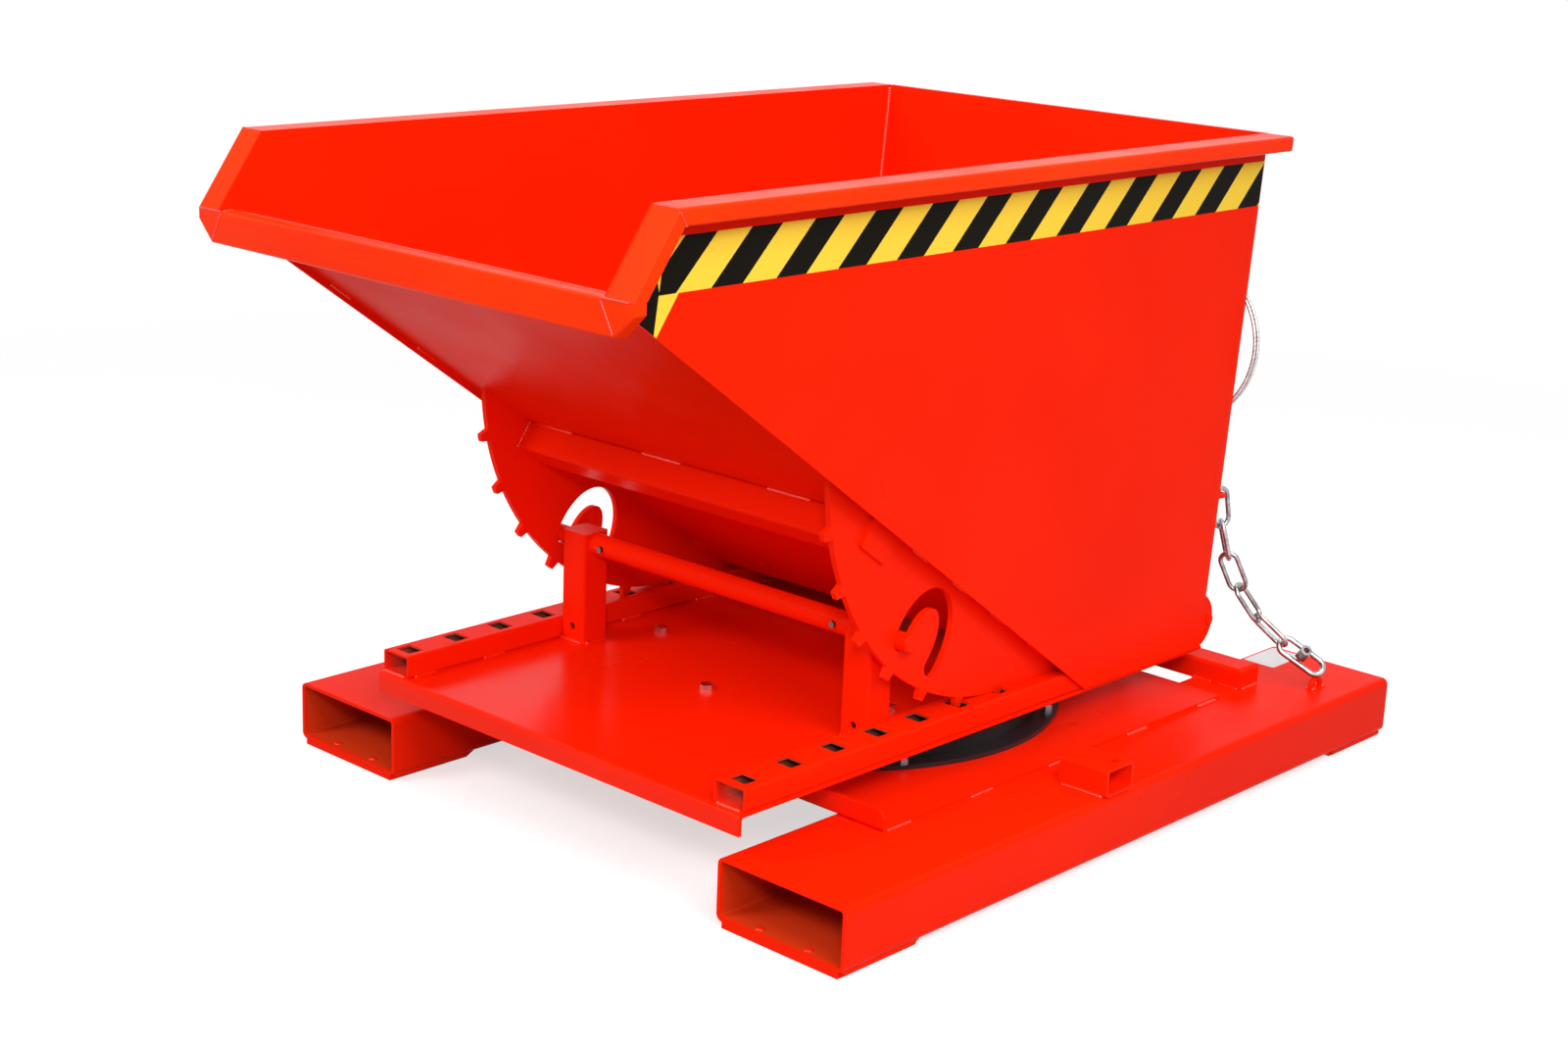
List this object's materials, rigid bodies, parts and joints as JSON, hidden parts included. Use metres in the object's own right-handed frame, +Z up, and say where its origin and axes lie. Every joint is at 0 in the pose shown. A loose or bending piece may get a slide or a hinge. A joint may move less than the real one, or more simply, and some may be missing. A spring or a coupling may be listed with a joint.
{
  "type": "tipping skip",
  "caption": "Open steel tipping skip that rolls forward on toothed rockers over slotted rails, on a turntable base with fork pockets, rear latch, release cable and chain.",
  "frame": {"origin": "on the ground, under the middle of the whole length and width", "axes": "+Z up, the skip pours towards -Y, +X is its right side seen from behind"},
  "size_m": [1, 1.4118, 0.868],
  "materials": {
    "orange_paint": "gloss",
    "black_paint": "satin",
    "zinc_steel": "zinc plated",
    "wire_rope": "galvanised rope",
    "ferrule_aluminium": "pressed",
    "ball_steel": "polished"
  },
  "bodies": {
    "base": {"left_fork_pocket": "orange_paint", "right_fork_pocket": "orange_paint", "left_front_foot": "orange_paint", "right_front_foot": "orange_paint", "left_rear_foot": "orange_paint", "right_rear_foot": "orange_paint", "turntable_plate": "orange_paint", "rear_cross_member": "orange_paint", "lock_receiver": "orange_paint", "chain_staple": "orange_paint", "lower_slewing_ring": "black_paint", "bearing_balls": "ball_steel", "ring_bolts": "zinc_steel"},
    "turning_frame": {"upper_slewing_ring": "black_paint", "tray": "orange_paint", "tray_bolts": "zinc_steel", "left_rail": "orange_paint", "right_rail": "orange_paint", "left_post": "orange_paint", "right_post": "orange_paint", "guide_axle": "orange_paint", "axle_sleeve": "orange_paint", "axle_set_screws": "zinc_steel"},
    "roll_carrier": {"roll_centre_plugs": "orange_paint"},
    "skip": {"left_side_wall": "orange_paint", "right_side_wall": "orange_paint", "chute_and_floor": "orange_paint", "rear_wall": "orange_paint", "left_top_rim": "orange_paint", "right_top_rim": "orange_paint", "left_front_rim": "orange_paint", "right_front_rim": "orange_paint", "pouring_lip": "orange_paint", "left_rocker": "orange_paint", "right_rocker": "orange_paint", "cross_brace": "orange_paint", "left_latch_lug": "orange_paint", "right_latch_lug": "orange_paint", "cable_hook": "orange_paint", "release_cable_coil": "wire_rope", "release_cable_lead": "wire_rope", "lever_ferrule": "ferrule_aluminium", "cable_end_eye": "ferrule_aluminium", "chain_eye": "orange_paint", "left_brace_cap": "orange_paint", "right_brace_cap": "orange_paint"},
    "latch": {"latch_shaft": "orange_paint", "left_latch_hook": "orange_paint", "right_latch_hook": "orange_paint", "latch_lever": "orange_paint"},
    "chain_link_1": {"chain_link_1": "zinc_steel"},
    "chain_link_2": {"chain_link_2": "zinc_steel"},
    "chain_link_3": {"chain_link_3": "zinc_steel"},
    "chain_link_4": {"chain_link_4": "zinc_steel"},
    "chain_link_5": {"chain_link_5": "zinc_steel"},
    "quick_link": {"quick_link": "zinc_steel"},
    "quick_link_sleeve": {"quick_link_sleeve": "zinc_steel"}
  },
  "joints": [
    {"name": "turntable", "type": "hinge", "parent": "base", "child": "turning_frame", "pos_m": [0, 0.05087, 0.118], "axis": [0, 0, 1], "continuous": true},
    {"name": "skip_roll", "type": "slide", "parent": "turning_frame", "child": "roll_carrier", "axis": [0, -1, 0], "range_m": [0, 0.4095]},
    {"name": "skip_tilt", "type": "hinge", "parent": "roll_carrier", "child": "skip", "pos_m": [0, 0.02587, 0.523], "axis": [1, 0, 0], "range_deg": [0, 68]},
    {"name": "latch_turn", "type": "hinge", "parent": "skip", "child": "latch", "pos_m": [0, 0.47395, 0.187], "axis": [1, 0, 0], "range_deg": [-20, 0]},
    {"name": "chain_link_1_swing", "type": "hinge", "parent": "skip", "child": "chain_link_1", "pos_m": [0.322, 0.49574, 0.36401], "axis": [1, 0, 0], "range_deg": [0, 20]},
    {"name": "chain_link_2_swing", "type": "hinge", "parent": "chain_link_1", "child": "chain_link_2", "pos_m": [0.322, 0.50911, 0.31449], "axis": [-0.309, -0.9182, -0.2479], "range_deg": [0, 20]},
    {"name": "chain_link_3_swing", "type": "hinge", "parent": "chain_link_2", "child": "chain_link_3", "pos_m": [0.32738, 0.52377, 0.26562], "axis": [0.7243, -0.6782, -0.1238], "range_deg": [0, 20]},
    {"name": "chain_link_4_swing", "type": "hinge", "parent": "chain_link_3", "child": "chain_link_4", "pos_m": [0.34229, 0.53915, 0.21901], "axis": [0.9067, 0.2168, 0.3617], "range_deg": [0, 20]},
    {"name": "chain_link_5_swing", "type": "hinge", "parent": "chain_link_4", "child": "chain_link_5", "pos_m": [0.36826, 0.55523, 0.17779], "axis": [0.2466, -0.9453, -0.2133], "range_deg": [0, 10]},
    {"name": "quick_link_swing", "type": "hinge", "parent": "chain_link_5", "child": "quick_link", "pos_m": [0.404, 0.57195, 0.145], "axis": [0.7023, -0.4919, 0.5146], "range_deg": [0, 20]},
    {"name": "quick_link_sleeve_travel", "type": "slide", "parent": "quick_link", "child": "quick_link_sleeve", "axis": [-0.7909, -0.3476, 0.5037], "range_m": [0, 0.008]}
  ],
  "couplings": [
    {"joint": "skip_roll", "follows": "skip_tilt", "m_per_rad": 0.345}
  ]
}
